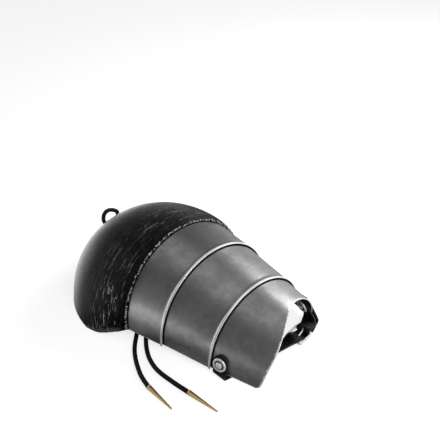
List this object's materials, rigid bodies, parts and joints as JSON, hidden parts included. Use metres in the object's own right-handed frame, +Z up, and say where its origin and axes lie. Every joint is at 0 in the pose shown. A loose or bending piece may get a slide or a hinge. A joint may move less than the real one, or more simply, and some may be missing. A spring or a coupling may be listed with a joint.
{
  "type": "pauldron",
  "caption": "Shoulder armour: a domed leather cap over overlapping steel lames, with a buckled arm strap and a braided lace with brass tips, lying open side down.",
  "frame": {"origin": "middle of the footprint of the hard pieces, on the surface that the pauldron lies on, open side down", "axes": "+X down the arm towards the arm opening, +Z up out of the shoulder dome, -Y towards the long side"},
  "size_m": [0.3048, 0.2251, 0.0961],
  "materials": {
    "black_leather": "semi-gloss, wrinkled",
    "satin_steel": "satin, mottled",
    "strap_leather": "satin",
    "nickel_fittings": "polished nickel",
    "lace_cord": "braided",
    "brass_aglets": "polished"
  },
  "bodies": {
    "root": {"leather_cap": "black_leather", "upper_lame": "satin_steel", "middle_lame": "satin_steel", "lower_lame": "satin_steel", "arm_strap": "strap_leather", "buckle_tab": "strap_leather", "buckle_frame": "nickel_fittings", "buckle_tongue": "nickel_fittings", "near_outer_washer": "nickel_fittings", "near_inner_washer": "nickel_fittings", "near_rivet": "nickel_fittings", "far_outer_washer": "nickel_fittings", "far_inner_washer": "nickel_fittings", "far_rivet": "nickel_fittings", "lace_tail_near": "lace_cord", "lace_tail_far": "lace_cord", "lace_loop": "lace_cord", "aglet_near": "brass_aglets", "aglet_far": "brass_aglets"}
  },
  "joints": []
}
